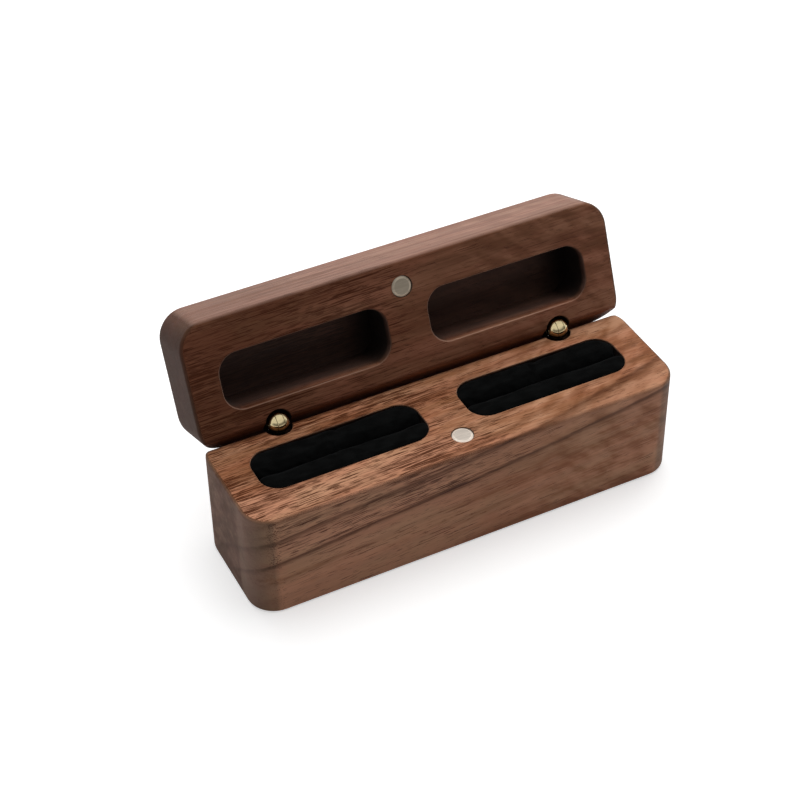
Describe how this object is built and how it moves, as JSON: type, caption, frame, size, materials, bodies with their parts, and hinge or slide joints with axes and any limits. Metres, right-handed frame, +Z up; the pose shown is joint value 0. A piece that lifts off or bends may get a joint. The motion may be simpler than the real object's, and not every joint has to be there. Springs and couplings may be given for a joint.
{
  "type": "ring display box",
  "caption": "Slim hinged walnut display box with velvet slit pads in its pockets, matching lid recesses, ball-knuckle hinges and a magnetic catch, shown open.",
  "frame": {"origin": "centre of the base's underside", "axes": "+X along the length, +Y towards the hinges, +Z up; the lid is drawn open"},
  "size_m": [0.09, 0.0431, 0.0458],
  "materials": {
    "walnut_base": "oiled walnut, satin",
    "walnut_lid": "oiled walnut, satin",
    "nickel": "satin nickel plate with a bright rim",
    "brass": "polished",
    "card": "plain grey board",
    "foam": "open foam",
    "velvet": "short-pile black velvet"
  },
  "bodies": {
    "base": {"base_body": "walnut_base", "base_magnet": "nickel", "left_hinge_fork": "brass", "left_hinge_pin": "brass", "right_hinge_fork": "brass", "right_hinge_pin": "brass", "left_pad_card": "card", "left_front_pad_foam": "foam", "left_front_pad_cover": "velvet", "left_rear_pad_foam": "foam", "left_rear_pad_cover": "velvet", "right_pad_card": "card", "right_front_pad_foam": "foam", "right_front_pad_cover": "velvet", "right_rear_pad_foam": "foam", "right_rear_pad_cover": "velvet"},
    "lid": {"lid_body": "walnut_lid", "lid_magnet": "nickel", "left_hinge_eye": "brass", "right_hinge_eye": "brass"}
  },
  "joints": [
    {"name": "lid_hinge", "type": "hinge", "parent": "base", "child": "lid", "pos_m": [0, 0.01055, 0.0239], "axis": [1, 0, 0], "range_deg": [0, 112]}
  ]
}
